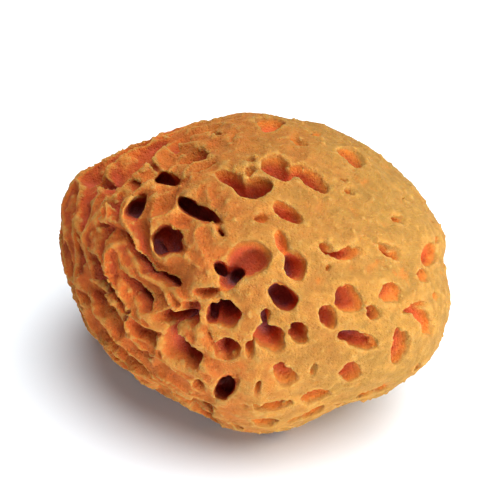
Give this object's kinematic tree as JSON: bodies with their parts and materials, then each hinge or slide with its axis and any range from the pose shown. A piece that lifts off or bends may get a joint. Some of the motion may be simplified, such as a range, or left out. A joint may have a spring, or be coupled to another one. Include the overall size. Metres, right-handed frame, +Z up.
{
  "type": "sea sponge",
  "caption": "Natural honeycomb sea sponge: one rounded porous body with deep openings and grooves, resting on the flat cut where it left its rock.",
  "frame": {"origin": "middle of the sponge's footprint box, at the level of the flat cut that it rests on", "axes": "+X along the sponge's length, to the right as the picture shows it; -Y towards the viewer; +Z up from the flat cut"},
  "size_m": [0.1398, 0.1246, 0.1017],
  "materials": {
    "sponge": "matte"
  },
  "bodies": {
    "root": {"sponge": "sponge"}
  },
  "joints": []
}
